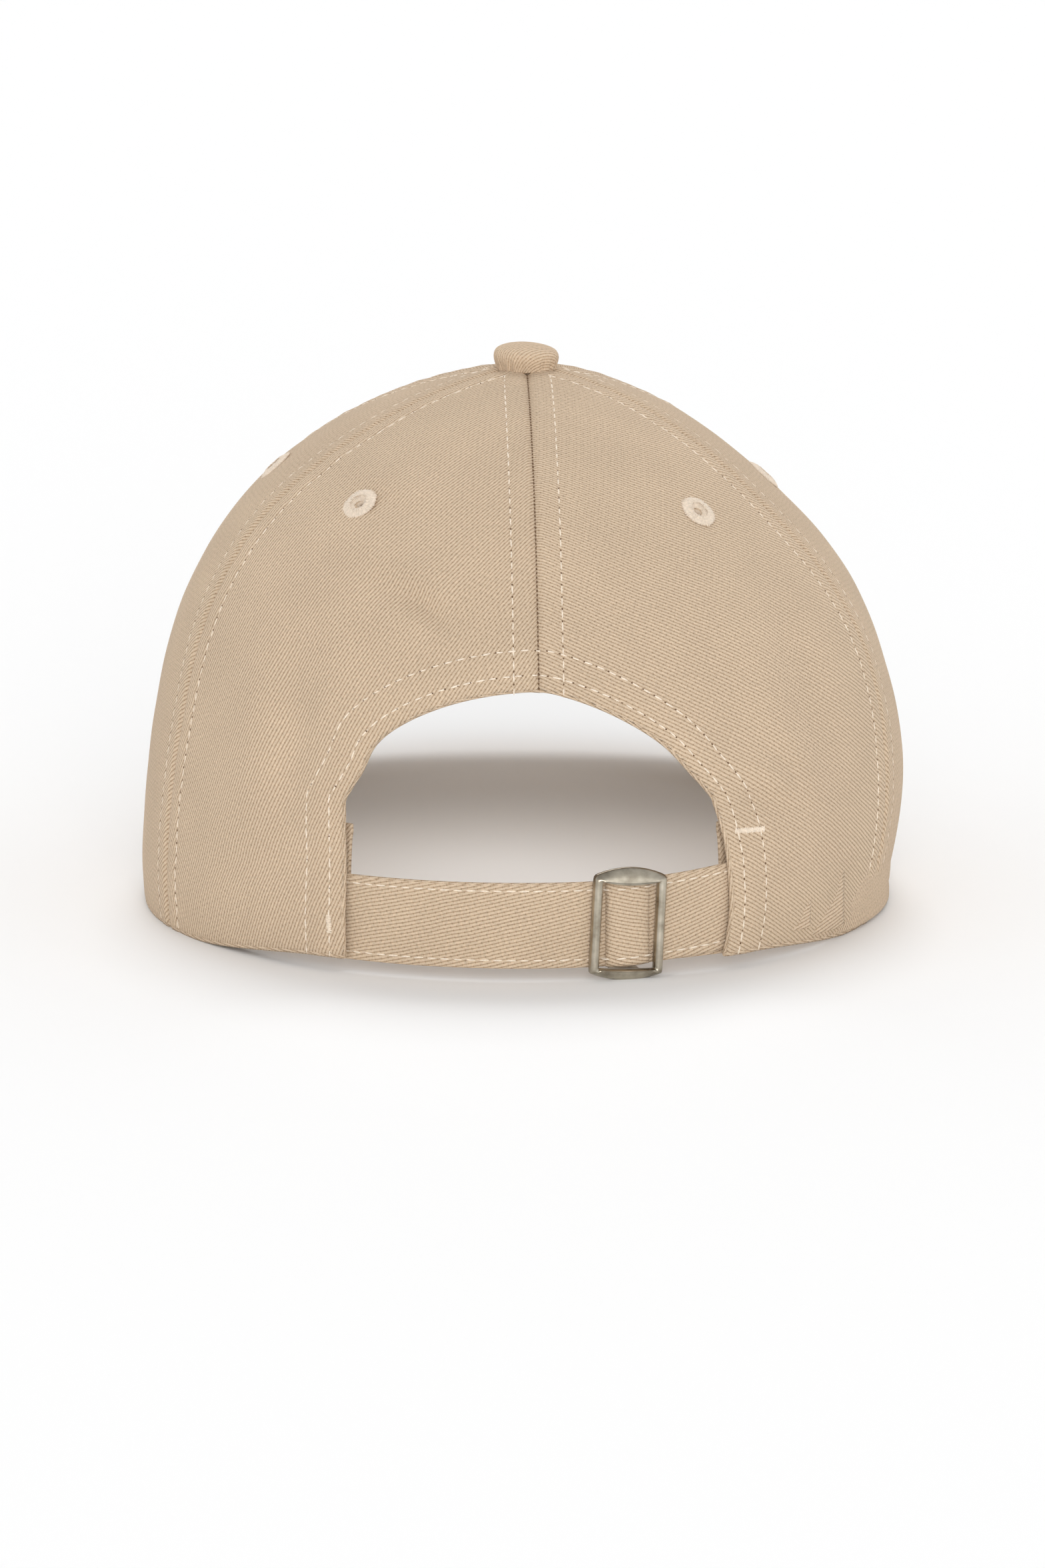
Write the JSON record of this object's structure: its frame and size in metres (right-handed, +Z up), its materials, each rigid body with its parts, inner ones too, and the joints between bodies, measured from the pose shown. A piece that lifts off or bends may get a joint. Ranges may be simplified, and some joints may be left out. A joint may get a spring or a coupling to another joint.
{
  "type": "baseball cap",
  "caption": "Cotton baseball cap with a curved visor, top button, sewn eyelets, half-moon rear opening and a fabric strap with a sliding metal buckle.",
  "frame": {"origin": "on the table, on the upright axis that the hem's round back half and the strap are centred on", "axes": "+Z up, the visor points to -Y, the rear opening faces +Y, the wearer's left is +X"},
  "size_m": [0.177, 0.2659, 0.1304],
  "materials": {
    "twill": "brushed cotton twill, beige",
    "button_twill": "cotton twill, beige",
    "embroidery_thread": "satin-stitched polyester thread, cream",
    "tape_twill": "cotton twill tape, beige",
    "sweatband": "cotton twill band with a soft lining, beige",
    "buckram": "stiff open-weave buckram, off-white",
    "visor_board": "moulded sheet, semi-rigid",
    "antique_nickel": "antique nickel plating, satin",
    "button_steel": "zinc-plated steel, satin"
  },
  "bodies": {
    "cap": {"button_cover": "button_twill", "button_rivet": "button_steel", "button_shell": "button_steel", "button_washer": "button_steel", "crown_panel_back_left": "twill", "crown_panel_back_right": "twill", "crown_panel_front_left": "twill", "crown_panel_front_right": "twill", "crown_panel_side_left": "twill", "crown_panel_side_right": "twill", "eyelet_back_left": "embroidery_thread", "eyelet_back_right": "embroidery_thread", "eyelet_front_left": "embroidery_thread", "eyelet_front_right": "embroidery_thread", "eyelet_side_left": "embroidery_thread", "eyelet_side_right": "embroidery_thread", "front_buckram_left": "buckram", "front_buckram_right": "buckram", "opening_binding": "tape_twill", "seam_tape_back_left": "tape_twill", "seam_tape_back_right": "tape_twill", "seam_tape_centre_back": "tape_twill", "seam_tape_centre_front": "tape_twill", "seam_tape_front_left": "tape_twill", "seam_tape_front_right": "tape_twill", "strap": "twill", "sweatband": "sweatband", "visor_board": "visor_board", "visor_bottom_cover": "twill", "visor_top_cover": "twill"},
    "buckle": {"buckle_frame": "antique_nickel", "buckle_centre_bar": "antique_nickel", "buckle_tab": "twill"}
  },
  "joints": [
    {"name": "buckle_slide", "type": "hinge", "parent": "cap", "child": "buckle", "pos_m": [0, 0, 0.013], "axis": [0, 0, 1], "range_deg": [-22, 8]}
  ]
}
